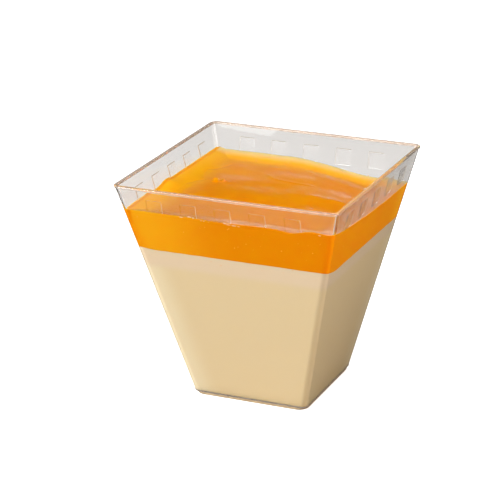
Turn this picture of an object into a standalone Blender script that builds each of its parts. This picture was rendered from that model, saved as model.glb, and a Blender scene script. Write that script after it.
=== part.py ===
# A panna cotta dessert in its clear square cup: set cream, a paler layer on top of
# the cream, and a fruit topping with an uneven surface.
# Metres, +Z up. The origin is on the table, under the middle of the cup.
import math

import bmesh
import bpy
from mathutils import Matrix, Vector

# ---- driving dimensions ----
HEIGHT = 0.0692            # table to the top of the rim
RIM_WIDTH = 0.0700         # outer width across the lip
LIP_HEIGHT = 0.0009
LIP_OVERHANG = 0.00045     # how far the lip stands out from the wall
FOOT_WIDTH = 0.0361        # the band that the cup stands on
FOOT_HEIGHT = 0.0011
FOOT_STEP = 0.0002         # the wall stands out over the foot by this much
FOOT_EDGE = 0.0003         # rounding of the foot's lower edge
WALL = 0.0010              # thickness of the wall, measured level
FLOOR = 0.0013             # thickness of the cup's bottom
FLOOR_EDGE = 0.0007        # rounding between the bottom and the wall, inside

RIM_RADIUS = 0.0024        # corner radii, seen from above
WALL_RADIUS = 0.0019
INNER_RADIUS = 0.0010
FOOT_RADIUS = 0.0034
CORNER_STEPS = 5

# the row of small squares under the rim, raised on the inside of each wall
SQUARES_PER_SIDE = 5
SQUARE_WIDTH = 0.0050
SQUARE_PITCH = 0.01075
SQUARE_TOP = 0.0656        # height of the squares' upper edge
SQUARE_RISE = 0.0002
SQUARE_SHIFTS = {"front": -0.0009, "right": 0.0007, "back": -0.0005, "left": 0.0002}
SIDE_TURNS = {"front": 0, "right": 90, "back": 180, "left": 270}

# what is in the cup
GAP = 0.0003               # clearance between two solids
SEAM_LEVEL = 0.0491        # where the topping begins
SEAM_DROP = 0.0014         # the seam lies lower along the right side
PALE_THICKNESS = 0.0052
FILL_LEVEL = 0.0602        # topping surface, away from the walls
# the topping climbs this far up each wall
BANK_RISES = {"front": 0.0013, "right": 0.0010, "back": 0.0009, "left": 0.0014}
BANK_WIDTH = 0.0070
FILL_DROP = 0.0032         # the topping lies lower at the right rear corner
SIDE_POINTS = 10           # points along a side of the filling
TOP_RINGS = 14
SEAM_RINGS = 5

# broad swells and hollows of the topping: x, y, reach along x, reach along y, rise
SWELLS = (
    (-0.0160, 0.0130, 0.0090, 0.0035, -0.0003),
    (0.0010, 0.0150, 0.0090, 0.0035, 0.0002),
    (0.0150, 0.0130, 0.0090, 0.0030, -0.0003),
    (0.0160, 0.0205, 0.0110, 0.0026, 0.0003),
    (0.0190, -0.0060, 0.0085, 0.0035, -0.0004),
    (0.0190, 0.0025, 0.0060, 0.0022, 0.0002),
    (-0.0060, -0.0040, 0.0120, 0.0070, 0.0002),
    (-0.0170, -0.0160, 0.0070, 0.0050, -0.0002),
)

WALL_FOOT_HALF = FOOT_WIDTH / 2 + FOOT_STEP
WALL_TOP = HEIGHT - LIP_HEIGHT
WALL_TOP_HALF = RIM_WIDTH / 2 - LIP_OVERHANG
TAPER = (WALL_TOP_HALF - WALL_FOOT_HALF) / (WALL_TOP - FOOT_HEIGHT)


# ---- the cup's planes and the levels of its filling ----
def outer_half(z):
    return WALL_FOOT_HALF + TAPER * (z - FOOT_HEIGHT)


def inner_half(z):
    return outer_half(z) - WALL


def smooth_step(low, high, value):
    t = min(max((value - low) / (high - low), 0.0), 1.0)
    return t * t * (3 - 2 * t)


def seam_level(x, y):
    along_right = smooth_step(0.019, 0.029, x) * smooth_step(-0.030, -0.022, y)
    return SEAM_LEVEL - SEAM_DROP * along_right


def swell(x, y, centre_x, centre_y, reach_x, reach_y, rise):
    spread = ((x - centre_x) / reach_x) ** 2 + ((y - centre_y) / reach_y) ** 2
    return rise * math.exp(-spread)


def bank_rise(x, y):
    half = inner_half(FILL_LEVEL)
    away = {"front": half + y, "right": half - x, "back": half - y, "left": half + x}
    return max(
        rise * (1 - smooth_step(0, BANK_WIDTH, away[side]))
        for side, rise in BANK_RISES.items()
    )


def fill_level(x, y):
    drop = FILL_DROP * smooth_step(0.008, 0.034, 0.85 * x + 0.45 * y)
    swells = sum(swell(x, y, *values) for values in SWELLS)
    return FILL_LEVEL + bank_rise(x, y) - drop + swells


# ---- mesh helpers ----
def rounded_square(half, radius, corner_steps=CORNER_STEPS, side_points=0):
    """Points round a square with round corners, anticlockwise seen from above."""
    points = []
    centre = half - radius
    for quarter in range(4):
        turn = Matrix.Rotation(math.pi / 2 * quarter, 2)
        for step in range(side_points):
            along = centre * (2 * (step + 1) / (side_points + 1) - 1)
            points.append(turn @ Vector((half, along)))
        for step in range(corner_steps + 1):
            angle = math.pi / 2 * step / corner_steps
            corner = Vector((math.cos(angle), math.sin(angle))) * radius
            points.append(turn @ (Vector((centre, centre)) + corner))
    return points


def add_loop(mesh, half, radius, z):
    return [mesh.verts.new((p.x, p.y, z)) for p in rounded_square(half, radius)]


def add_face(mesh, corners, flip):
    mesh.faces.new(reversed(corners) if flip else corners)


def bridge(mesh, first, second, flip=False):
    """A band of triangles between two loops, facing out where the second is the upper."""
    count = len(first)
    for i in range(count):
        j = (i + 1) % count
        add_face(mesh, (first[i], first[j], second[j]), flip)
        add_face(mesh, (first[i], second[j], second[i]), flip)


def close_with_fan(mesh, loop, middle, flip):
    count = len(loop)
    for i in range(count):
        add_face(mesh, (middle, loop[i], loop[(i + 1) % count]), flip)


def make_object(name, mesh, material, smooth_angle):
    mesh_data = bpy.data.meshes.new(name)
    mesh.to_mesh(mesh_data)
    mesh.free()
    mesh_data.shade_smooth()
    mesh_data.set_sharp_from_angle(angle=math.radians(smooth_angle))
    mesh_data.materials.append(material)
    made = bpy.data.objects.new(name, mesh_data)
    bpy.context.scene.collection.objects.link(made)
    return made


def make_material(name, color, roughness, alpha=1.0, transmission=0.0):
    material = bpy.data.materials.new(name)
    material.use_nodes = True
    shader = material.node_tree.nodes["Principled BSDF"]
    shader.inputs["Base Color"].default_value = (*color, 1)
    shader.inputs["Metallic"].default_value = 0.0
    shader.inputs["Roughness"].default_value = roughness
    shader.inputs["Alpha"].default_value = alpha
    shader.inputs["Transmission Weight"].default_value = transmission
    return material


# ---- the clear cup ----
def cup_profile():
    """Half width, corner radius and height of each loop: up the outside, down the inside."""
    foot_half = FOOT_WIDTH / 2
    rim_half = RIM_WIDTH / 2
    rim_edge = LIP_HEIGHT / 3
    return (
        (foot_half - FOOT_EDGE, FOOT_RADIUS, 0),
        (foot_half, FOOT_RADIUS - FOOT_EDGE, FOOT_EDGE),
        (foot_half, WALL_RADIUS, FOOT_HEIGHT),
        (WALL_FOOT_HALF, WALL_RADIUS, FOOT_HEIGHT),
        (WALL_TOP_HALF, WALL_RADIUS, WALL_TOP),
        (rim_half - rim_edge / 2, RIM_RADIUS, WALL_TOP),
        (rim_half, RIM_RADIUS, WALL_TOP + rim_edge),
        (rim_half, RIM_RADIUS, HEIGHT - rim_edge),
        (rim_half - rim_edge, RIM_RADIUS - rim_edge, HEIGHT),
        (inner_half(HEIGHT) + rim_edge, INNER_RADIUS + rim_edge, HEIGHT),
        (inner_half(HEIGHT - rim_edge), INNER_RADIUS, HEIGHT - rim_edge),
        (inner_half(FLOOR + FLOOR_EDGE), INNER_RADIUS, FLOOR + FLOOR_EDGE),
        (inner_half(FLOOR) - FLOOR_EDGE, INNER_RADIUS, FLOOR),
    )


def make_squares_guide():
    """One guide mesh holding every small square, each leaning with its wall."""
    mesh = bmesh.new()
    lean = math.atan(TAPER)
    middle_height = SQUARE_TOP - SQUARE_WIDTH / 2
    for side, degrees in SIDE_TURNS.items():
        turn = Matrix.Rotation(math.radians(degrees), 4, "Z")
        # the shifts are along +X on the front and back, and along +Y on the other two
        shift = SQUARE_SHIFTS[side] * (1 if degrees < 180 else -1)
        for index in range(SQUARES_PER_SIDE):
            along = (index - (SQUARES_PER_SIDE - 1) / 2) * SQUARE_PITCH + shift
            place = Matrix.Translation((along, -inner_half(middle_height), middle_height))
            tilt = Matrix.Rotation(lean, 4, "X")
            size = Matrix.Diagonal((SQUARE_WIDTH, 2 * SQUARE_RISE, SQUARE_WIDTH, 1))
            bmesh.ops.create_cube(mesh, size=1, matrix=turn @ place @ tilt @ size)
    guide = make_object("squares_guide", mesh, None, 30)
    guide.hide_render = True
    guide.display_type = "WIRE"
    return guide


def make_cup(material):
    mesh = bmesh.new()
    loops = [add_loop(mesh, *values) for values in cup_profile()]
    for lower, upper in zip(loops, loops[1:]):
        bridge(mesh, lower, upper)
    mesh.faces.new(reversed(loops[0]))
    mesh.faces.new(loops[-1])
    cup = make_object("cup", mesh, material, 30)
    join = cup.modifiers.new("small squares", "BOOLEAN")
    join.operation = "UNION"
    join.solver = "EXACT"
    join.object = make_squares_guide()
    return cup


# ---- the filling ----
def add_sheet_ring(mesh, level, scale):
    """A ring of a filling's upper or lower surface, kept clear of the leaning wall."""
    reference = inner_half(SEAM_LEVEL) - GAP
    ring = []
    for point in rounded_square(reference, INNER_RADIUS, 2, SIDE_POINTS):
        x, y = point * scale
        for _ in range(3):
            z = level(x, y)
            stretch = (inner_half(z) - GAP) / reference * scale
            x, y = point * stretch
        ring.append(mesh.verts.new((x, y, z)))
    return ring


def add_sheet(mesh, level, rings, facing_up):
    """A surface of rings that shrink to a middle point. Returns the outermost ring."""
    scales = [1 - step / rings for step in range(rings)]
    loops = [add_sheet_ring(mesh, level, scale) for scale in scales]
    for outer, inner in zip(loops, loops[1:]):
        bridge(mesh, outer, inner, not facing_up)
    middle = mesh.verts.new((0, 0, level(0, 0)))
    close_with_fan(mesh, loops[-1], middle, not facing_up)
    return loops[0]


def make_layer(name, material, lower_level, lower_rings, upper_level, upper_rings):
    mesh = bmesh.new()
    lower = add_sheet(mesh, lower_level, lower_rings, False)
    upper = add_sheet(mesh, upper_level, upper_rings, True)
    bridge(mesh, lower, upper)
    return make_object(name, mesh, material, 40)


def make_cream(material):
    """The set cream, from the cup's bottom to the paler layer."""
    mesh = bmesh.new()
    bottom = FLOOR + GAP
    rounded = inner_half(bottom) - GAP - FLOOR_EDGE
    bottom_points = rounded_square(rounded, INNER_RADIUS, 2, SIDE_POINTS)
    foot = [mesh.verts.new((p.x, p.y, bottom)) for p in bottom_points]
    waist = add_sheet_ring(mesh, lambda x, y: bottom + FLOOR_EDGE, 1)
    upper = add_sheet(mesh, lambda x, y: pale_bottom(x, y) - GAP / 2, SEAM_RINGS, True)
    bridge(mesh, foot, waist)
    bridge(mesh, waist, upper)
    mesh.faces.new(reversed(foot))
    return make_object("cream", mesh, material, 40)


def pale_bottom(x, y):
    return seam_level(x, y) - PALE_THICKNESS


def make_pale_layer(material):
    return make_layer(
        "pale_layer", material,
        lambda x, y: pale_bottom(x, y) + GAP / 2, SEAM_RINGS,
        lambda x, y: seam_level(x, y) - GAP / 2, SEAM_RINGS,
    )


def make_topping(material):
    return make_layer(
        "topping", material,
        lambda x, y: seam_level(x, y) + GAP / 2, SEAM_RINGS,
        fill_level, TOP_RINGS,
    )


def main():
    for old in list(bpy.data.objects):
        bpy.data.objects.remove(old, do_unlink=True)
    make_cup(make_material("clear_plastic", (0.93, 0.90, 0.88), 0.05, 0.35, 0.9))
    make_cream(make_material("vanilla_cream", (0.78, 0.60, 0.33), 0.4))
    make_pale_layer(make_material("pale_cream", (0.82, 0.62, 0.42), 0.4))
    make_topping(make_material("fruit_topping", (0.87, 0.29, 0.01), 0.15))


main()
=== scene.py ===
import math

import bmesh
import bpy
import numpy as np
from mathutils import Matrix, Vector, noise


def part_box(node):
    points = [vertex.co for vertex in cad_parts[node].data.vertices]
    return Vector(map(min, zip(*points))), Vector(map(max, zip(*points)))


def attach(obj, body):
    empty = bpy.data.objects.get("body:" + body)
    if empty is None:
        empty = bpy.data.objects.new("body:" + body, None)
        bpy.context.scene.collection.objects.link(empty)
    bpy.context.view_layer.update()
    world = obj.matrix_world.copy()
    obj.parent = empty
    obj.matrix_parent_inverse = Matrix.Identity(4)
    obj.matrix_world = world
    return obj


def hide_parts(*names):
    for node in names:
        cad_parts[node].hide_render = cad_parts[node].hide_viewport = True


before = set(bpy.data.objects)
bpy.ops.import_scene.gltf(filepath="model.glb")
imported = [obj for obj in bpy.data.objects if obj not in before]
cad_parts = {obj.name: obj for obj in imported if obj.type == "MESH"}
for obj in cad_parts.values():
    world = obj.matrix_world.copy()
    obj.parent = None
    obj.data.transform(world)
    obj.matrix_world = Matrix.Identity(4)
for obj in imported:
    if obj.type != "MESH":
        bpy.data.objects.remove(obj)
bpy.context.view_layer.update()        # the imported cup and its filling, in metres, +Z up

mm = 0.001
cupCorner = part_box("cup")[1]
rimHalf = cupCorner.x
rimHeight = cupCorner.z

cupShape = {
    "lipHeight": 0.0009,
    "lipOut": 0.00045,          # how far the lip stands out from the wall
    "lipEdge": 0.00042,         # rounding of the lip
    "footHalf": 0.01805,        # the band that the cup stands on
    "footHeight": 0.0011,
    "footStep": 0.0002,
    "footEdge": 0.0003,
    "footRadius": 0.0034,
    # the bead over the foot: how far out and how far up from the foot's height
    "bead": ((0.00012, -0.00020), (0.00026, -0.00008), (0.00030, 0.00004), (0.00026, 0.00016)),
    "beadHalf": 0.00025,        # half its height
    "wall": 0.0010,
    "floor": 0.0013,
    "floorEdge": 0.0007,
    "rimRadius": 0.0024,        # corner radii seen from above
    "wallRadius": 0.0019,
    "innerRadius": 0.0010,
    "cornerSteps": 9,
}

# the row of small raised squares on the inside of each wall
squareRow = {
    "count": 5,
    "size": 0.0050,
    "pitch": 0.01075,
    "top": 0.0656,
    "shifts": (-0.0009, 0.0007, 0.0005, -0.0002),   # front, right, back, left
    "edge": ((0.00002, 0.0), (0.00017, 0.00019), (0.00003, 0.00001)),      # in, up
    "paintedEdgeFacing": 0.4,         # a slope that faces up or along by this much takes a painted edge line
}

wallTop = rimHeight - cupShape["lipHeight"]
wallTopHalf = rimHalf - cupShape["lipOut"]
wallFootHalf = cupShape["footHalf"] + cupShape["footStep"]
taper = (wallTopHalf - wallFootHalf) / (wallTop - cupShape["footHeight"])


def outerHalf(z):
    return wallFootHalf + taper * (z - cupShape["footHeight"])


def innerHalf(z):
    return outerHalf(z) - cupShape["wall"]


def addPiece(name, mesh, materials, replaced=(), sharpAngle=30):
    # a bmesh becomes a piece of the object, riding on its one body
    data = bpy.data.meshes.new(name)
    mesh.to_mesh(data)
    mesh.free()
    data.shade_smooth()
    data.set_sharp_from_angle(angle=math.radians(sharpAngle))
    for material in materials:
        data.materials.append(material)
    piece = bpy.data.objects.new(name, data)
    bpy.context.scene.collection.objects.link(piece)
    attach(piece, "root")
    if replaced:
        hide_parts(*replaced)
    return piece


def bridge(mesh, lower, upper):
    count = len(lower)
    faces = []
    for i in range(count):
        j = (i + 1) % count
        faces.append(mesh.faces.new((lower[i], lower[j], upper[j], upper[i])))
    return faces


def columnPlaces(side):
    # where the squares' upright edges are along one side
    middle = (squareRow["count"] - 1) / 2
    places = []
    for index in range(squareRow["count"]):
        centre = (index - middle) * squareRow["pitch"] + squareRow["shifts"][side]
        places += [centre - squareRow["size"] / 2, centre + squareRow["size"] / 2]
    return places


def cupLoop(mesh, half, radius, z):
    # round the cup: each side has the squares' columns, then a round corner
    squareBottom = squareRow["top"] - squareRow["size"]
    rowCorner = innerHalf(squareBottom) - cupShape["innerRadius"]
    spread = min(1.0, (half - radius) / rowCorner)
    steps = cupShape["cornerSteps"]
    centre = half - radius
    loop = []
    for side in range(4):
        turn = Matrix.Rotation(math.pi / 2 * side, 2)
        points = [Vector((place * spread, -half)) for place in columnPlaces(side)]
        for step in range(steps + 1):
            angle = math.pi / 2 * (step / steps - 1)
            arc = Vector((math.cos(angle), math.sin(angle))) * radius
            points.append(Vector((centre, -centre)) + arc)
        for point in points:
            x, y = turn @ point
            loop.append(mesh.verts.new((x, y, z)))
    return loop


def edgeTurn(half, z, radius, first, last, steps=4):
    # a rounded edge of the profile, as (half width, height) pairs
    turns = [math.radians(first + (last - first) * i / steps) for i in range(steps + 1)]
    return [(half + radius * math.cos(a), z + radius * math.sin(a)) for a in turns]


def cupProfile():
    # rows up the outside, over the lip and down the inside: the look of the band that
    # starts there, then half width, corner radius and height
    s = cupShape
    edge = s["lipEdge"]
    foot = [
        (s["footHalf"] - s["footEdge"], s["footRadius"], 0.0),
        (s["footHalf"] - s["footEdge"] * 0.3, s["footRadius"] - 0.0001, s["footEdge"] * 0.3),
        (s["footHalf"], s["footRadius"] - s["footEdge"], s["footEdge"]),
        (s["footHalf"], s["wallRadius"], s["footHeight"] - s["beadHalf"]),
    ]
    bead = [(s["footHalf"] + out, s["wallRadius"], s["footHeight"] + up) for out, up in s["bead"]]
    beadTop = s["footHeight"] + s["beadHalf"]
    wall = [(outerHalf(beadTop), s["wallRadius"], beadTop)]
    lipCentre = rimHalf - s["rimRadius"]
    turned = [(rimHalf - edge, wallTop)]
    turned += edgeTurn(rimHalf - edge, wallTop + edge, edge, -60, 0, 3)
    turned += edgeTurn(rimHalf - edge, rimHeight - edge, edge, 0, 90)
    lip = [(wallTopHalf, s["wallRadius"], wallTop)]
    lip += [(half, half - lipCentre, z) for half, z in turned]
    innerCentre = innerHalf(rimHeight) - s["innerRadius"]
    turned = edgeTurn(innerHalf(rimHeight) + edge, rimHeight - edge, edge, 90, 180)
    *over, down = [(half, half - innerCentre, z) for half, z in turned]
    squareTop = squareRow["top"]
    squareFoot = squareTop - squareRow["size"]
    inside = [(innerHalf(squareFoot), s["innerRadius"], squareFoot)]
    turned = edgeTurn(innerHalf(s["floor"]) - s["floorEdge"], s["floor"] + s["floorEdge"],
                      s["floorEdge"], 0, -90)
    inside += [(half, s["innerRadius"], z) for half, z in turned]
    bands = (("foot", foot), ("bead", bead), ("clear", wall), ("lip", lip + over),
             ("haze", [down, (innerHalf(squareTop), s["innerRadius"], squareTop)]),
             ("clear", inside))
    return [(look, *row) for look, rows in bands for row in rows]


def sideOf(x, y):
    # 0 is the front wall, 1 the right, 2 the back and 3 the left
    return round(math.atan2(y, x) / (math.pi / 2) + 1) % 4


def makeCup(materials):
    # materials is a dictionary: clear, frost, foot, edge, lip, haze, edgeShadedRear and lipShadedRear
    number = {label: index for index, label in enumerate(materials)}
    # the bead takes the lit lip plastic: its shape catches a real glint, and its pale colour
    # paints the highlight line brighter
    number["bead"] = number["lip"]
    mesh = bmesh.new()
    profile = cupProfile()
    loops = [cupLoop(mesh, *row[1:]) for row in profile]
    squares = []
    perSide = 2 * squareRow["count"] + cupShape["cornerSteps"] + 1
    for (look, _, _, z), lower, upper in zip(profile, loops, loops[1:]):
        faces = bridge(mesh, lower, upper)
        for face in faces:
            centre = face.calc_center_median()
            # painted shade: the lip's left and rear sides take the darker copy
            rear = look == "lip" and centre.x <= centre.y
            face.material_index = number["lipShadedRear" if rear else look]
        if z == squareRow["top"]:
            squares = [faces[side * perSide + 2 * i]
                       for side in range(4) for i in range(squareRow["count"])]
    mesh.faces.new(reversed(loops[0]))
    mesh.faces.new(loops[-1])
    slopes = []
    for inward, rise in squareRow["edge"]:
        made = bmesh.ops.inset_individual(mesh, faces=squares, thickness=inward, depth=rise,
                                          use_even_offset=True)
        if rise > inward:
            slopes = made["faces"]
    for face in squares:
        face.material_index = number["frost"]
    mesh.normal_update()
    for face in slopes:
        # painted highlight: the upper edge and the one further round anticlockwise take the pale
        # edge plastic, and on the rear wall the darker one, painted shade
        centre = face.calc_center_median()
        side = sideOf(centre.x, centre.y)
        along = Matrix.Rotation(math.pi / 2 * side, 3, "Z") @ Vector((1, 0, 0))
        if max(face.normal.z, face.normal.dot(along)) > squareRow["paintedEdgeFacing"]:
            face.material_index = number["edgeShadedRear" if side == 2 else "edge"]
    cup = addPiece("clearCup", mesh, materials.values(), ("cup",))
    flatten = cup.modifiers.new("flat walls stay flat", "WEIGHTED_NORMAL")
    flatten.keep_sharp = True
    flatten.weight = 90
    return cup


fillShape = {
    "reach": 0.00015,           # the filling reaches this far into the wall
    "toppingReach": 0.00020,    # the topping covers the cream's upper edge
    "overlap": 0.00015,         # the pale layer reaches this far up into the topping
    "footEdge": 0.0003,         # rounding of the cream at the bottom
    "seam": 0.0491,             # where the topping begins
    "seamDrop": 0.0014,         # lower along the right side
    "dropAcross": (0.019, 0.029),
    "dropAlong": (-0.030, -0.022),
    "cornerRise": 0.0005,       # higher at the left front corner
    "cornerAt": 0.029,
    "cornerReach": 0.0025,
    "seamWave": 0.00012,
    "paleBand": 0.0052,
    "paleSag": 0.0004,          # it starts lower towards the right
    "paleWave": 0.00036,
    "columns": 120,             # points along a side
    "rows": 14,
}

toppingShape = {
    "level": 0.0602,            # surface away from the walls
    "bank": (0.0013, 0.0010, 0.0009, 0.0014),   # climb at the front, right, back, left
    "bankWidth": 0.0070,
    "drop": 0.0032,             # lower at the right rear corner
    "dropTowards": (0.85, 0.45),
    "dropFrom": 0.008,
    "dropTo": 0.034,
    "meniscus": 0.00022,
    "meniscusWidth": 0.00040,
    "ripple": 0.00009,
    "fineRipple": 0.35,         # share of the ripple's height
    "grid": 200,
    "crowding": 0.3,            # the grid is finer by the walls
    "sideRows": 8,
}

# swells and hollows in millimetres: x, y, reach along, reach across, turn in degrees, rise
swells = (
    (-16, 13, 9, 3.5, 8, -0.20),
    (1, 15, 9, 3.5, -5, 0.20),
    (15, 13, 9, 3, 5, -0.20),
    (16, 20.5, 11, 2.6, -8, 0.20),
    (19, -6, 8.5, 3.5, 0, -0.26),
    (19, 2.5, 6, 2.2, 5, 0.20),
    (-6, -4, 12, 7, 0, 0.20),
    (-17, -16, 7, 5, 0, -0.20),
    (12.6, 2.6, 2.0, 0.6, 10, 0.12),
    (19.5, 3.0, 2.4, 0.6, -5, 0.14),
    (-5.5, -7.2, 1.6, 0.5, 0, 0.07),
    (2.6, -3.5, 1.0, 0.5, 0, 0.07),
    (3.4, 23.1, 1.0, 0.5, 0, 0.10),
    (-7.7, 22.5, 1.4, 0.5, 0, 0.10),
    (-13.3, 28.5, 1.4, 0.7, 10, 0.18),
    (10.5, 29.9, 1.5, 0.4, -40, 0.20),
    (-2, -31, 6, 3, 0, -0.4),
    (19.5, -32, 2.8, 4, 0, -0.7),
    (26, -32, 2.6, 3, 0, 0.5),
    (-31, -13, 3, 3, 90, -0.3),
    (-31, -5, 3, 3, 90, 0.5),
    (32, -30, 4, 4, 0, 0.6),
)

# thin creases where the topping folded as it set: depth, width, then points, in millimetres
creases = (
    (0.10, 0.45, ((-26.6, -9.2), (-26.9, -1.6), (-25.5, 2.8), (-23.9, 4.8))),
    (0.12, 0.45, ((-23.9, 4.8), (-26.1, 9.2), (-26.8, 13.7), (-23.9, 16.8), (-21.9, 21))),
    (-0.09, 0.55, ((-7.3, 15.5), (-5.6, 13.4), (-2.2, 12.0), (3.0, 11.2), (9, 11.4))),
)

# a burst bubble with a torn edge, in millimetres; the widths are shares of its size
crater = {
    "x": -19.4,
    "y": 5.2,
    "long": 1.7,
    "wide": 1.0,
    "rim": 0.45,
    "rimWidth": 0.35,
    "depth": 0.30,
    "pitWidth": 0.7,
    "tears": 3,                 # high places round the rim
    "torn": 0.6,
    "turn": 0.7,                # in radians
}


def smoothStep(low, high, value):
    t = np.clip((value - low) / (high - low), 0, 1)
    return t * t * (3 - 2 * t)


def wander(x, y, size, seed):
    # gentle noise at each point, about -1 to 1
    flat = [noise.noise(Vector((a / size, b / size, seed)))
            for a, b in zip(np.ravel(x), np.ravel(y))]
    return np.array(flat).reshape(np.shape(x))


def seamLevel(x, y):
    s = fillShape
    alongRight = smoothStep(*s["dropAcross"], x) * smoothStep(*s["dropAlong"], y)
    toCorner = np.hypot(x + s["cornerAt"], y + s["cornerAt"]) / s["cornerReach"]
    cornerRise = s["cornerRise"] * np.exp(-toCorner ** 2)
    wave = s["seamWave"] * wander(x, y, size=0.004, seed=3.1)
    return s["seam"] - s["seamDrop"] * alongRight + cornerRise + wave


def paleLevel(x, y):
    # where the paler cream starts
    s = fillShape
    wave = s["paleWave"] * wander(x, y, size=0.009, seed=7.7)
    return s["seam"] - s["paleBand"] - s["paleSag"] * smoothStep(0.0, 0.03, x) + wave


def swellHeight(x, y, centreX, centreY, along, across, turn, rise):
    angle = math.radians(turn)
    dx = x / mm - centreX
    dy = y / mm - centreY
    u = (dx * math.cos(angle) + dy * math.sin(angle)) / along
    v = (dy * math.cos(angle) - dx * math.sin(angle)) / across
    return rise * mm * np.exp(-u * u - v * v)


def craterHeight(x, y):
    dx = (x / mm - crater["x"]) / crater["long"]
    dy = (y / mm - crater["y"]) / crater["wide"]
    away = np.hypot(dx, dy)
    torn = 1 + crater["torn"] * np.sin(crater["tears"] * np.arctan2(dy, dx) + crater["turn"])
    ring = crater["rim"] * torn * np.exp(-((away - 1) / crater["rimWidth"]) ** 2)
    pit = crater["depth"] * np.exp(-(away / crater["pitWidth"]) ** 2)
    return (ring - pit) * mm


def creaseHeight(x, y, depth, width, points):
    # a groove along a line of points, or a ridge where the depth is negative
    px, py = x / mm, y / mm
    away = np.full_like(px, np.inf)
    for (ax, ay), (bx, by) in zip(points, points[1:]):
        along = np.array([bx - ax, by - ay])
        t = ((px - ax) * along[0] + (py - ay) * along[1]) / (along @ along)
        t = np.clip(t, 0, 1)
        away = np.minimum(away, np.hypot(px - ax - t * along[0], py - ay - t * along[1]))
    return -depth * mm * np.exp(-(away / width) ** 2)


def toppingLevel(x, y):
    s = toppingShape
    half = innerHalf(s["level"])
    toFront, toRight, toBack, toLeft = half + y, half - x, half - y, half + x
    level = s["level"] * np.ones_like(x)
    for rise, away in zip(s["bank"], (toFront, toRight, toBack, toLeft)):
        level = np.maximum(level, s["level"] + rise * (1 - smoothStep(0, s["bankWidth"], away)))
    away = np.minimum(np.minimum(toFront, toBack), np.minimum(toLeft, toRight))
    towards = s["dropTowards"][0] * x + s["dropTowards"][1] * y
    level = level - s["drop"] * smoothStep(s["dropFrom"], s["dropTo"], towards)
    for values in swells:
        level = level + swellHeight(x, y, *values)
    for depth, width, points in creases:
        level = level + creaseHeight(x, y, depth, width, points)
    level = level + craterHeight(x, y)
    fine = s["fineRipple"] * wander(x, y, size=0.0024, seed=5.2)
    level = level + s["ripple"] * (wander(x, y, size=0.007, seed=1.7) + fine)
    return level + s["meniscus"] * np.exp(-np.clip(away, 0, 1) / s["meniscusWidth"])


def toRounded(u, v, half, radius):
    # a square of u and v from -1 to 1 becomes a square of that half width with round corners
    size = np.maximum(np.abs(u), np.abs(v))
    alongU = np.abs(u) >= np.abs(v)
    minor = np.where(alongU, v, u) / np.where(size > 0, size, 1)
    sign = np.sign(np.where(alongU, u, v))
    straight = 1 - radius / half
    bend = np.clip((np.abs(minor) - straight) / (1 - straight), 0, 1) * math.pi / 4
    onSide = np.abs(minor) <= straight
    out = np.where(onSide, half, half - radius + radius * np.cos(bend))
    side = np.where(onSide, minor * half,
                    np.sign(minor) * (half - radius + radius * np.sin(bend)))
    x = np.where(alongU, sign * out, side) * size
    y = np.where(alongU, side, sign * out) * size
    return x, y


def squareRing(count):
    # u and v once round the square, anticlockwise, count points to a side
    t = np.linspace(-1, 1, count, endpoint=False)
    one = np.ones(count)
    return np.concatenate((t, one, -t, -one)), np.concatenate((-one, t, one, -t))


def wallRing(u, v, z, reach):
    return toRounded(u, v, innerHalf(z) + reach, cupShape["innerRadius"] + reach)


def addRing(mesh, x, y, z):
    z = np.broadcast_to(z, x.shape)
    return [mesh.verts.new(point) for point in zip(x.tolist(), y.tolist(), z.tolist())]


def closeRing(mesh, ring, z, flip):
    middle = mesh.verts.new((0, 0, z))
    for i, corner in enumerate(ring):
        following = ring[(i + 1) % len(ring)]
        mesh.faces.new((middle, following, corner) if flip else (middle, corner, following))


def makeCream(material, name, replaced, low, high, floorEdge=0.0):
    # a band of cream from one level to another, each level a function of x and y
    reach = fillShape["reach"]
    mesh = bmesh.new()
    u, v = squareRing(fillShape["columns"])
    x, y = wallRing(u, v, fillShape["seam"], reach)
    bottom, top = low(x, y), high(x, y)
    rings = []
    if floorEdge:
        steps = 4
        for i in range(steps):
            turn = math.radians(90 * (i / steps - 1))
            z = bottom + floorEdge * (1 + math.sin(turn))
            inset = floorEdge * (1 - math.cos(turn))
            rx, ry = wallRing(u, v, z, reach - inset)
            rings.append(addRing(mesh, rx, ry, z))
        bottom = bottom + floorEdge
    for row in range(fillShape["rows"] + 1):
        z = bottom + (top - bottom) * row / fillShape["rows"]
        rx, ry = wallRing(u, v, z, reach)
        rings.append(addRing(mesh, rx, ry, z))
    for lower, upper in zip(rings, rings[1:]):
        bridge(mesh, lower, upper)
    closeRing(mesh, rings[0], rings[0][0].co.z, True)
    closeRing(mesh, rings[-1], float(np.mean(top)), False)
    return addPiece(name, mesh, (material,), replaced, sharpAngle=50)


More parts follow.
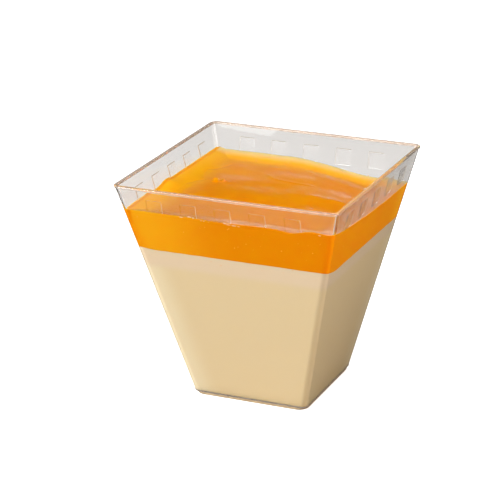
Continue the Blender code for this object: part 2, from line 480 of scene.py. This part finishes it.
def makeTopping(openMaterial, wallMaterial):
    s = toppingShape
    reach = fillShape["toppingReach"]
    mesh = bmesh.new()
    t = np.linspace(-1, 1, s["grid"] + 1)
    line = t * (1 + s["crowding"] - s["crowding"] * t * t)
    u, v = np.meshgrid(line, line)
    x, y = toRounded(u, v, innerHalf(s["level"]), cupShape["innerRadius"])
    z = toppingLevel(x, y)
    x, y = wallRing(u, v, z, reach)
    points = np.stack((x, y, z), -1)
    verts = [[mesh.verts.new(p) for p in row] for row in points.tolist()]
    last = s["grid"]
    for j in range(last):
        for i in range(last):
            mesh.faces.new((verts[j][i], verts[j][i + 1], verts[j + 1][i + 1], verts[j + 1][i]))
    # the rim of the grid, once round, then down the wall to the seam
    walk = [(0, i) for i in range(last)] + [(j, last) for j in range(last)]
    walk += [(last, i) for i in range(last, 0, -1)] + [(j, 0) for j in range(last, 0, -1)]
    upper = [verts[j][i] for j, i in walk]
    ringU = np.array([u[j, i] for j, i in walk])
    ringV = np.array([v[j, i] for j, i in walk])
    topZ = np.array([z[j, i] for j, i in walk])
    sx, sy = wallRing(ringU, ringV, fillShape["seam"], reach)
    seamZ = seamLevel(sx, sy)
    for row in range(1, s["sideRows"] + 1):
        rowZ = topZ + (seamZ - topZ) * row / s["sideRows"]
        rx, ry = wallRing(ringU, ringV, rowZ, reach)
        lower = addRing(mesh, rx, ry, rowZ)
        for face in bridge(mesh, lower, upper):
            face.material_index = 1
        upper = lower
    closeRing(mesh, upper, float(np.mean(seamZ)), True)
    return addPiece("fruitTopping", mesh, (openMaterial, wallMaterial),
                    ("topping",), sharpAngle=60)


# small things that lie against the walls
small = {
    "seed": 4,
    "cornerGap": 0.002,         # none nearer to a corner than this
    "bubbles": 90,              # pale dots in the topping's sides
    "bubbleSize": (0.00010, 0.00022),
    "bubbleFlat": 0.00004,
    "bubbleLow": 0.0505,
    "bubbleSpread": 0.0098,     # from the lowest to the highest
    "specks": 60,               # orange dots just under the seam
    "speckSize": (0.00008, 0.00018),
    "speckFlat": 0.00003,
    "speckDrop": 0.0002,        # at least this far under the seam
    "speckSpread": 0.002,       # and up to this much more
    "gapFlat": 0.00006,
}

# thin gaps where the topping meets the front wall: x, height, length, height of the gap, in mm
gaps = (
    (-14.0, 61.5, 0.7, 0.14), (-11.4, 61.9, 0.8, 0.15), (-10.2, 61.7, 0.25, 0.3),
    (-7.8, 61.2, 0.2, 0.14), (-6.9, 61.15, 0.2, 0.14), (-5.4, 61.1, 0.12, 0.1),
    (-0.4, 61.3, 0.4, 0.2), (0.7, 61.05, 0.8, 0.14), (2.4, 60.95, 0.9, 0.14),
    (3.9, 60.9, 0.5, 0.1), (12.3, 62.3, 0.32, 0.3), (28.6, 61.5, 0.5, 0.12),
)


def addBead(mesh, side, along, z, out, length, height, flat):
    # a small flattened bead lying against a wall; side 0 is the front, 1 the right and so on
    made = bmesh.ops.create_icosphere(mesh, subdivisions=1, radius=1.0)
    lean = Matrix.Rotation(math.atan(taper), 4, "X")
    shape = Matrix.Diagonal((length, flat, height, 1))
    place = Matrix.Translation((along, -(innerHalf(z) + out), z))
    turn = Matrix.Rotation(math.pi / 2 * side, 4, "Z")
    bmesh.ops.transform(mesh, matrix=turn @ place @ lean @ shape, verts=made["verts"])


def makeBubbles(material):
    mesh = bmesh.new()
    chance = np.random.default_rng(small["seed"])
    for number in range(small["bubbles"]):
        z = small["bubbleLow"] + chance.random() * small["bubbleSpread"]
        along = (chance.random() * 2 - 1) * (innerHalf(z) - small["cornerGap"])
        size = small["bubbleSize"][0] + chance.random() ** 3 * np.ptp(small["bubbleSize"])
        addBead(mesh, number % 4, along, z, fillShape["toppingReach"], size, size,
                small["bubbleFlat"])
    return addPiece("toppingBubbles", mesh, (material,))


def makeGaps(material):
    mesh = bmesh.new()
    for along, z, length, height in gaps:
        addBead(mesh, 0, along * mm, z * mm, fillShape["toppingReach"], length * mm,
                height * mm, small["gapFlat"])
    return addPiece("toppingGaps", mesh, (material,))


def makeSpecks(material):
    mesh = bmesh.new()
    chance = np.random.default_rng(small["seed"] + 1)
    bandMiddle = 0.047
    out = 0.028                 # near the wall, where the seam's height is read
    for number in range(small["specks"]):
        side = number % 4
        along = (chance.random() * 2 - 1) * (innerHalf(bandMiddle) - small["cornerGap"])
        x, y = ((along, -out), (out, along), (-along, out), (-out, -along))[side]
        under = small["speckDrop"] + chance.random() ** 2 * small["speckSpread"]
        z = float(seamLevel(np.array(x), np.array(y))) - under
        size = small["speckSize"][0] + chance.random() ** 2 * np.ptp(small["speckSize"])
        addBead(mesh, side, along, z, fillShape["reach"], size, size, small["speckFlat"])
    return addPiece("creamSpecks", mesh, (material,))


def newGroup(name, inputs, outputs):
    # a shader node group with named sockets; returns it with its two end nodes
    group = bpy.data.node_groups.new(name, "ShaderNodeTree")
    for label, kind, value in inputs:
        socket = group.interface.new_socket(label, in_out="INPUT", socket_type=kind)
        socket.default_value = value
    for label, kind in outputs:
        group.interface.new_socket(label, in_out="OUTPUT", socket_type=kind)
    return group, group.nodes.new("NodeGroupInput"), group.nodes.new("NodeGroupOutput")


def feed(tree, socket, value):
    # a socket takes a link, a colour or a number
    if isinstance(value, bpy.types.NodeSocket):
        tree.links.new(value, socket)
    elif isinstance(value, tuple):
        socket.default_value = (*value, 1)
    else:
        socket.default_value = value


def mathNode(tree, operation, *values):
    node = tree.nodes.new("ShaderNodeMath")
    node.operation = operation
    for socket, value in zip(node.inputs, values):
        feed(tree, socket, value)
    return node.outputs[0]


def makeCloudGroup():
    # soft cloudy patches, 0 to 1, of a given size in metres
    group, given, made = newGroup(
        "soft clouds",
        (("Size", "NodeSocketFloat", 0.01), ("Detail", "NodeSocketFloat", 2.0)),
        (("Mask", "NodeSocketFloat"),))
    place = group.nodes.new("ShaderNodeTexCoord")
    texture = group.nodes.new("ShaderNodeTexNoise")
    scale = mathNode(group, "DIVIDE", 1.0, given.outputs["Size"])
    group.links.new(place.outputs["Object"], texture.inputs["Vector"])
    group.links.new(scale, texture.inputs["Scale"])
    group.links.new(given.outputs["Detail"], texture.inputs["Detail"])
    group.links.new(texture.outputs["Fac"], made.inputs["Mask"])
    return group


def makeCornerGroup():
    # 1 at the cup's upright corners, fading to 0 along the sides over a width in metres
    group, given, made = newGroup(
        "near a corner",
        (("Width", "NodeSocketFloat", 0.01),),
        (("Mask", "NodeSocketFloat"),))
    place = group.nodes.new("ShaderNodeTexCoord")
    split = group.nodes.new("ShaderNodeSeparateXYZ")
    group.links.new(place.outputs["Object"], split.inputs[0])
    absX = mathNode(group, "ABSOLUTE", split.outputs["X"])
    absY = mathNode(group, "ABSOLUTE", split.outputs["Y"])
    away = mathNode(group, "ABSOLUTE", mathNode(group, "SUBTRACT", absX, absY))
    share = mathNode(group, "DIVIDE", away, given.outputs["Width"])
    fade = mathNode(group, "EXPONENT", mathNode(group, "MULTIPLY", share, -1.0))
    group.links.new(fade, made.inputs["Mask"])
    return group


def makeWallGroup():
    # 1 at the left wall and at the back wall, fading to 0 at a width from each
    group, given, made = newGroup(
        "beside the walls",
        (("Half", "NodeSocketFloat", 0.0316), ("Width", "NodeSocketFloat", 0.006)),
        (("Left", "NodeSocketFloat"), ("Back", "NodeSocketFloat"), ("Either", "NodeSocketFloat")))
    place = group.nodes.new("ShaderNodeTexCoord")
    split = group.nodes.new("ShaderNodeSeparateXYZ")
    group.links.new(place.outputs["Object"], split.inputs[0])
    fromLeft = mathNode(group, "ADD", given.outputs["Half"], split.outputs["X"])
    fromBack = mathNode(group, "SUBTRACT", given.outputs["Half"], split.outputs["Y"])
    masks = []
    for away, label in ((fromLeft, "Left"), (fromBack, "Back")):
        share = mathNode(group, "DIVIDE", away, given.outputs["Width"])
        masks.append(mapRange(group, share, 0.0, 1.0, 1.0, 0.0))
        group.links.new(masks[-1], made.inputs[label])
    group.links.new(mathNode(group, "MAXIMUM", *masks), made.inputs["Either"])
    return group


def placeGroup(tree, group, **values):
    node = tree.nodes.new("ShaderNodeGroup")
    node.node_tree = group
    for label, value in values.items():
        node.inputs[label].default_value = value
    return node.outputs


def newMaterial(name):
    material = bpy.data.materials.new(name)
    material.use_nodes = True
    tree = material.node_tree
    shader = tree.nodes["Principled BSDF"]
    return material, tree, shader


def mixColors(tree, factor, first, second):
    node = tree.nodes.new("ShaderNodeMix")
    node.data_type = "RGBA"
    tree.links.new(factor, node.inputs["Factor"])
    for label, value in (("A", first), ("B", second)):
        feed(tree, next(s for s in node.inputs if s.name == label and s.type == "RGBA"), value)
    return next(s for s in node.outputs if s.type == "RGBA")


def mixValues(tree, factor, first, second):
    node = tree.nodes.new("ShaderNodeMix")
    tree.links.new(factor, node.inputs[0])
    for socket, value in zip(node.inputs[2:4], (first, second)):
        feed(tree, socket, value)
    return node.outputs[0]


def mapRange(tree, value, low, high, toLow=0.0, toHigh=1.0):
    node = tree.nodes.new("ShaderNodeMapRange")
    node.interpolation_type = "SMOOTHSTEP"
    tree.links.new(value, node.inputs["Value"])
    node.inputs["From Min"].default_value = low
    node.inputs["From Max"].default_value = high
    node.inputs["To Min"].default_value = toLow
    node.inputs["To Max"].default_value = toHigh
    return node.outputs["Result"]


def addBump(tree, shader, height, distance):
    node = tree.nodes.new("ShaderNodeBump")
    node.inputs["Strength"].default_value = 1.0
    node.inputs["Distance"].default_value = distance
    tree.links.new(height, node.inputs["Height"])
    tree.links.new(node.outputs["Normal"], shader.inputs["Normal"])


clearLook = {
    "color": (0.985, 0.97, 0.955),
    "roughness": 0.02,
    "ior": 1.49,
    "shine": 0.55,
    "lampTint": (0.95, 0.94, 0.93),
    "turns": 4.5,
    "haze": 0.03,                       # above the filling
    "lipClear": 0.74,
    "lipRoughness": 0.15,
    "lipLitColor": (0.92, 0.83, 0.75),     # the lit copy, at the front and right; its warm tint is painted, standing in for the topping seen through the lip
    "lipPaintedShade": (0.72, 0.59, 0.49),     # painted shade: the darker copy, at the left and rear
    "edgeClear": 0.3,                   # the squares' painted edge lines
    "edgeRoughness": 0.2,
    # painted highlight: the pale edge lines on the other walls
    "edgeHighlight": (0.84, 0.68, 0.53),
    "edgePaintedShade": (0.52, 0.45, 0.39),    # painted shade: the dark edge lines on the rear wall
    "frostRoughness": 0.11,
    "frostHeight": 0.00005,
    "frostGrain": 0.0003,
}

# painted reflection: the low band's sandy tone stands in for the cream above it, seen through the
# plastic
footLook = {
    "light": (0.78, 0.60, 0.38),
    "dark": (0.62, 0.45, 0.28),
    "grain": 0.0009,
    "roughness": 0.15,
    "clear": 0.25,
}

creamLook = {
    "color": (0.79, 0.645, 0.40),
    "light": (0.86, 0.75, 0.52),        # painted light: lighter near the left and rear walls
    "lightWidth": 0.009,
    "pale": (0.81, 0.66, 0.475),        # the band under the topping
    "paleFrom": -0.0016,                # the pale fades in round the band's lower edge
    "paleTo": 0.0012,
    "mottle": (0.74, 0.60, 0.38),
    "mottleSize": 0.012,
    "mottleAmount": 0.05,
    "grain": 0.0016,
    "grainHeight": 0.00001,
    "roughness": 0.45,
    "softness": 0.35,
    "radius": (1.0, 0.9, 0.7),
    "scale": 0.0004,
}

toppingLook = {
    "color": (0.79, 0.285, 0.0),
    "deep": (0.78, 0.225, 0.0),         # in clouds, and at the corners of the sides
    "cloudSize": 0.009,
    "cloudAmount": 0.35,
    "bank": (0.92, 0.46, 0.01),         # painted light: yellower where it climbs the left and back walls, as if lit through the thin topping
    "bankWidth": 0.012,
    "leftLightWidth": 0.034,                 # painted light: it is yellower towards the left along the sides
    "sideLightAmount": 0.8,
    "sideDepth": 0.004,                 # how far under the surface the sides are measured
    "edge": (0.80, 0.28, 0.0),          # the line where it meets the left wall
    "edgeWidth": 0.0009,
    "film": (0.86, 0.58, 0.22),         # the last of it, up the back wall: partly its own paler colour where thin, partly painted light from behind
    "filmWidth": 0.0042,
    "cornerWidth": 0.0012,
    "grain": 0.0012,
    "grainHeight": 0.00003,
    "roughness": 0.16,
    "softness": 1.0,
    "radius": (1.0, 0.8, 0.4),
    "scale": 0.0025,
    "wallScale": 0.0005,                # less deep, so the seam has no dark line above it
}

# colour, roughness and shine of the small things along the walls
dotLooks = {
    "bubbles in the topping": ((0.97, 0.50, 0.06), 0.3, 0.2),
    # painted highlight: the gaps' pale colour stands in for the bright air between topping and
    # wall
    "gaps by the wall": ((1.0, 0.74, 0.44), 0.2, 0.6),
    "specks of topping": ((0.86, 0.42, 0.12), 0.4, 0.0),
}


def makeClearPlastic(name, roughness, clear=1.0, color=clearLook["color"], frost=False):
    look = clearLook
    material, tree, shader = newMaterial(name)
    shader.inputs["Base Color"].default_value = (*color, 1)
    shader.inputs["Roughness"].default_value = roughness
    shader.inputs["IOR"].default_value = look["ior"]
    shader.inputs["Transmission Weight"].default_value = clear
    shader.inputs["Specular IOR Level"].default_value = look["shine"]
    if frost:
        grain = placeGroup(tree, cloudGroup, Size=look["frostGrain"], Detail=1.0)
        addBump(tree, shader, grain["Mask"], look["frostHeight"])
    # light from the lamps and from the filling passes straight through, and so does
    # light that has turned round in the plastic for long
    path = tree.nodes.new("ShaderNodeLightPath")
    straight = tree.nodes.new("ShaderNodeBsdfTransparent")
    straight.inputs["Color"].default_value = (*look["lampTint"], 1)
    either = mathNode(tree, "MAXIMUM", path.outputs["Is Shadow Ray"],
                      path.outputs["Is Diffuse Ray"])
    long = mathNode(tree, "GREATER_THAN", path.outputs["Ray Depth"], look["turns"])
    either = mathNode(tree, "MAXIMUM", either, long)
    mix = tree.nodes.new("ShaderNodeMixShader")
    tree.links.new(either, mix.inputs[0])
    tree.links.new(shader.outputs[0], mix.inputs[1])
    tree.links.new(straight.outputs[0], mix.inputs[2])
    tree.links.new(mix.outputs[0], tree.nodes["Material Output"].inputs["Surface"])
    return material


def makeFootPlastic():
    look = footLook
    material, tree, shader = newMaterial("foot plastic")
    grain = placeGroup(tree, cloudGroup, Size=look["grain"], Detail=2.0)["Mask"]
    tone = mixColors(tree, mapRange(tree, grain, 0.35, 0.65), look["light"], look["dark"])
    tree.links.new(tone, shader.inputs["Base Color"])
    shader.inputs["Roughness"].default_value = look["roughness"]
    shader.inputs["IOR"].default_value = clearLook["ior"]
    shader.inputs["Transmission Weight"].default_value = look["clear"]
    return material


def makeCupPlastics():
    look = clearLook
    hazy = 1 - look["haze"]
    smooth, lip, edge = look["roughness"], look["lipRoughness"], look["edgeRoughness"]
    return {
        "clear": makeClearPlastic("clear plastic", smooth),
        "frost": makeClearPlastic("frosted plastic", look["frostRoughness"], hazy, frost=True),
        "foot": makeFootPlastic(),
        "edge": makeClearPlastic("plastic edges", edge, look["edgeClear"], look["edgeHighlight"]),
        "lip": makeClearPlastic("lip plastic", lip, look["lipClear"], look["lipLitColor"]),
        "haze": makeClearPlastic("hazy plastic", smooth, hazy),
        "edgeShadedRear": makeClearPlastic("plastic edges, painted shade", edge, look["edgeClear"],
                                     look["edgePaintedShade"]),
        "lipShadedRear": makeClearPlastic("lip plastic, painted shade", lip, look["lipClear"],
                                    look["lipPaintedShade"]),
    }


def setSoft(shader, look, shine, depth):
    # light goes a little way into the food
    shader.inputs["Specular IOR Level"].default_value = shine
    shader.inputs["Subsurface Weight"].default_value = look["softness"]
    shader.inputs["Subsurface Radius"].default_value = look["radius"]
    shader.inputs["Subsurface Scale"].default_value = depth
    shader.inputs["Roughness"].default_value = look["roughness"]


def heightOf(tree):
    place = tree.nodes.new("ShaderNodeTexCoord")
    split = tree.nodes.new("ShaderNodeSeparateXYZ")
    tree.links.new(place.outputs["Object"], split.inputs[0])
    return split.outputs["Z"]


def makeCreamMaterial():
    look = creamLook
    material, tree, shader = newMaterial("vanilla cream")
    setSoft(shader, look, 0.0, look["scale"])
    height = heightOf(tree)
    half = mathNode(tree, "ADD", mathNode(tree, "MULTIPLY", height, taper), innerHalf(0.0))
    # painted light: the cream is lighter beside the left and rear walls
    beside = placeGroup(tree, wallGroup, Width=look["lightWidth"])
    tree.links.new(half, beside["Either"].node.inputs["Half"])
    body = mixColors(tree, beside["Either"], look["color"], look["light"])
    bandFoot = fillShape["seam"] - fillShape["paleBand"]
    band = mapRange(tree, height, bandFoot + look["paleFrom"], bandFoot + look["paleTo"])
    banded = mixColors(tree, band, body, look["pale"])
    clouds = placeGroup(tree, cloudGroup, Size=look["mottleSize"], Detail=3.0)["Mask"]
    shade = mapRange(tree, clouds, 0.3, 0.7, 0.0, look["mottleAmount"])
    mottled = mixColors(tree, shade, banded, look["mottle"])
    tree.links.new(mottled, shader.inputs["Base Color"])
    grain = placeGroup(tree, cloudGroup, Size=look["grain"], Detail=2.0)["Mask"]
    addBump(tree, shader, grain, look["grainHeight"])
    return material


def makeToppingMaterial(name, shine):
    # with shine it is the open surface, and without it the sides against the wall
    look = toppingLook
    material, tree, shader = newMaterial(name)
    setSoft(shader, look, shine, look["scale"] if shine else look["wallScale"])
    clouds = placeGroup(tree, cloudGroup, Size=look["cloudSize"], Detail=2.0)["Mask"]
    shade = mapRange(tree, clouds, 0.35, 0.7, 0.0, look["cloudAmount"])
    varied = mixColors(tree, shade, look["color"], look["deep"])
    if shine:
        half = innerHalf(toppingShape["level"])
        # painted light: yellower beside the left and back walls
        bank = placeGroup(tree, wallGroup, Half=half, Width=look["bankWidth"])["Either"]
        varied = mixColors(tree, bank, varied, look["bank"])
        # partly painted light: paler up the back wall
        film = placeGroup(tree, wallGroup, Half=half, Width=look["filmWidth"])["Back"]
        varied = mixColors(tree, film, varied, look["film"])
        edge = placeGroup(tree, wallGroup, Half=half, Width=look["edgeWidth"])["Left"]
        varied = mixColors(tree, edge, varied, look["edge"])
    else:
        # painted light: the sides turn yellower towards the left and back walls, except a thin
        # line right at the wall
        half = innerHalf(toppingShape["level"] - look["sideDepth"])
        near = placeGroup(tree, wallGroup, Half=half, Width=look["edgeWidth"])
        for label, width in (("Left", look["leftLightWidth"]), ("Back", look["bankWidth"])):
            wide = placeGroup(tree, wallGroup, Half=half, Width=width)[label]
            kept = mathNode(tree, "SUBTRACT", wide, near[label])
            share = mathNode(tree, "MULTIPLY", kept, look["sideLightAmount"])
            varied = mixColors(tree, share, varied, look["bank"])
        corner = placeGroup(tree, cornerGroup, Width=look["cornerWidth"])["Mask"]
        varied = mixColors(tree, corner, varied, look["deep"])
    tree.links.new(varied, shader.inputs["Base Color"])
    grain = placeGroup(tree, cloudGroup, Size=look["grain"], Detail=2.0)["Mask"]
    addBump(tree, shader, grain, look["grainHeight"])
    return material


def makeDotMaterial(name):
    color, roughness, shine = dotLooks[name]
    material, tree, shader = newMaterial(name)
    shader.inputs["Base Color"].default_value = (*color, 1)
    shader.inputs["Roughness"].default_value = roughness
    shader.inputs["Specular IOR Level"].default_value = shine
    return material


studio = {
    "floorSize": 4,                         # half its width, in metres
    "floorRoughness": 0.8,
    "floor": (0.97, 0.97, 0.97),
    "glowSeen": (0.72, 0.72, 0.72),         # keeps it white behind the cup
    "glowThrough": (0.13, 0.13, 0.13),      # the same, through the clear walls
    "floorBounce": (0.63, 0.60, 0.56),      # what the floor sends back at the cup
    "floorGloss": (0.04, 0.04, 0.04),       # what the cup's walls reflect of it
    "floorTurned": (0.80, 0.79, 0.78),      # seen by light turned round inside the plastic
    "sky": 0.046,
    "skyGloss": (0.005, 0.03),              # overhead and at the horizon
    "skyFade": 0.55,                        # how high the horizon's level reaches
    "skyTurned": 0.12,
    "backdrop": 0.95,
    "lamps": (
        # name, azimuth, elevation, distance, width, height, power, colour
        ("key softbox", -35, 29, 3.0, 2.4, 1.0, 73.0, (1.0, 0.99, 0.97)),
        ("near softbox", -48, 26, 0.7, 0.6, 0.3, 2.1, (1.0, 0.99, 0.97)),
        ("left softbox", -88, 14, 1.2, 0.8, 0.8, 3.0, (1.0, 0.99, 0.97)),
        ("fill softbox", 80, 32, 0.26, 0.16, 0.16, 0.42, (1.0, 0.92, 0.85)),
        ("back strip", 190, 60, 1.2, 0.25, 0.25, 1.0, (1.0, 1.0, 1.0)),
    ),
}

# a low lamp that lights the topping only, for the glow it has from inside
toppingGlow = ("topping glow", 70, 30, 2.0, 0.8, 0.8, 25.0, (1.0, 1.0, 1.0))

shot = {
    "azimuth": 24.02,
    "elevation": 19.98,
    "roll": -0.81,
    "distance": 0.6465,
    "right": -0.00657,          # how far the camera stands right of the cup's middle
    "up": 0.00915,
    "lens": 155.0,
}


cupMiddle = Vector((0, 0, rimHeight / 2))


def outwards(azimuth, elevation):
    # the direction from the cup to a place round it; azimuth 0 is in front
    a, e = math.radians(azimuth), math.radians(elevation)
    return Vector((math.sin(a) * math.cos(e), -math.cos(a) * math.cos(e), math.sin(e)))


def addCamera():
    back = outwards(shot["azimuth"], shot["elevation"])
    a = math.radians(shot["azimuth"])
    right = Vector((math.cos(a), math.sin(a), 0))
    up = back.cross(right)
    roll = math.radians(shot["roll"])
    right, up = (right * math.cos(roll) + up * math.sin(roll),
                 up * math.cos(roll) - right * math.sin(roll))
    place = cupMiddle + back * shot["distance"] + right * shot["right"] + up * shot["up"]
    data = bpy.data.cameras.new("camera")
    data.lens = shot["lens"]
    data.sensor_width = 36
    data.clip_start = 0.01
    camera = bpy.data.objects.new("camera", data)
    facing = Matrix((right, up, back)).transposed().to_4x4()
    camera.matrix_world = Matrix.Translation(place) @ facing
    bpy.context.scene.collection.objects.link(camera)
    bpy.context.scene.camera = camera


def addLamp(name, azimuth, elevation, distance, width, height, power, color):
    data = bpy.data.lights.new(name, "AREA")
    data.shape = "RECTANGLE"
    data.energy = power
    data.size = width
    data.size_y = height
    data.color = color
    lamp = bpy.data.objects.new(name, data)
    away = outwards(azimuth, elevation)
    lamp.location = cupMiddle + away * distance
    lamp.rotation_euler = away.to_track_quat("Z", "Y").to_euler()
    bpy.context.scene.collection.objects.link(lamp)
    return lamp


def addGlow(topping):
    lit = bpy.data.collections.new("lit by the glow")
    lit.objects.link(topping)
    addLamp(*toppingGlow).light_linking.receiver_collection = lit


def addWorld():
    # pale behind the cup, weaker as light on the food, and dim where the walls reflect it
    world = bpy.data.worlds.new("studio")
    world.use_nodes = True
    world.cycles.sampling_method = "NONE"
    tree = world.node_tree
    light = tree.nodes["Background"]
    light.inputs["Color"].default_value = (1, 1, 1, 1)
    path = tree.nodes.new("ShaderNodeLightPath")
    place = tree.nodes.new("ShaderNodeTexCoord")
    split = tree.nodes.new("ShaderNodeSeparateXYZ")
    tree.links.new(place.outputs["Generated"], split.inputs[0])
    overhead, horizon = studio["skyGloss"]
    gloss = mapRange(tree, split.outputs["Z"], 0.0, studio["skyFade"], horizon, overhead)
    reflected = mathNode(tree, "MULTIPLY", path.outputs["Is Glossy Ray"],
                         path.outputs["Is Reflection Ray"])
    turned = mathNode(tree, "GREATER_THAN", path.outputs["Glossy Depth"], 0.5)
    level = mixValues(tree, turned, studio["backdrop"], studio["skyTurned"])
    level = mixValues(tree, reflected, level, gloss)
    level = mixValues(tree, path.outputs["Is Diffuse Ray"], level, studio["sky"])
    tree.links.new(level, light.inputs["Strength"])
    bpy.context.scene.world = world


def addFloor():
    # it glows a little, and has its own tone for what is reflected and for bounced light
    look = studio
    material, tree, shader = newMaterial("pale floor")
    shader.inputs["Roughness"].default_value = look["floorRoughness"]
    shader.inputs["Specular IOR Level"].default_value = 0.0
    path = tree.nodes.new("ShaderNodeLightPath")
    turned = mathNode(tree, "GREATER_THAN", path.outputs["Glossy Depth"], 0.5)
    seen = mixColors(tree, turned, look["floor"], look["floorTurned"])
    bounce = mixColors(tree, path.outputs["Is Glossy Ray"], look["floorBounce"],
                       look["floorGloss"])
    seen = mixColors(tree, path.outputs["Is Reflection Ray"], seen, bounce)
    tree.links.new(seen, shader.inputs["Base Color"])
    lit = mixColors(tree, path.outputs["Is Camera Ray"], look["glowThrough"], look["glowSeen"])
    lit = mixColors(tree, path.outputs["Is Reflection Ray"], lit, (0, 0, 0))
    tree.links.new(lit, shader.inputs["Emission Color"])
    shader.inputs["Emission Strength"].default_value = 1.0
    mesh = bmesh.new()
    bmesh.ops.create_grid(mesh, x_segments=1, y_segments=1, size=look["floorSize"])
    data = bpy.data.meshes.new("floor")
    mesh.to_mesh(data)
    mesh.free()
    data.materials.append(material)
    floor = bpy.data.objects.new("floor", data)
    bpy.context.scene.collection.objects.link(floor)


bpy.context.scene.view_settings.view_transform = "Standard"
addCamera()
for lampValues in studio["lamps"]:
    addLamp(*lampValues)
addWorld()
addFloor()
print("studio ready")

cloudGroup = makeCloudGroup()
cornerGroup = makeCornerGroup()
wallGroup = makeWallGroup()
makeCup(makeCupPlastics())
print("cup ready")

creamMaterial = makeCreamMaterial()
creamFoot = cupShape["floor"] - fillShape["reach"]
makeCream(creamMaterial, "setCream", ("cream",),
          lambda x, y: np.full_like(x, creamFoot), paleLevel, fillShape["footEdge"])
makeCream(creamMaterial, "paleLayer", ("pale_layer",), paleLevel,
          lambda x, y: seamLevel(x, y) + fillShape["overlap"])
print("cream ready")

topping = makeTopping(makeToppingMaterial("fruit topping", 0.5),
                      makeToppingMaterial("fruit topping at the wall", 0.0))
addGlow(topping)
makeBubbles(makeDotMaterial("bubbles in the topping"))
makeGaps(makeDotMaterial("gaps by the wall"))
makeSpecks(makeDotMaterial("specks of topping"))
print("topping ready")
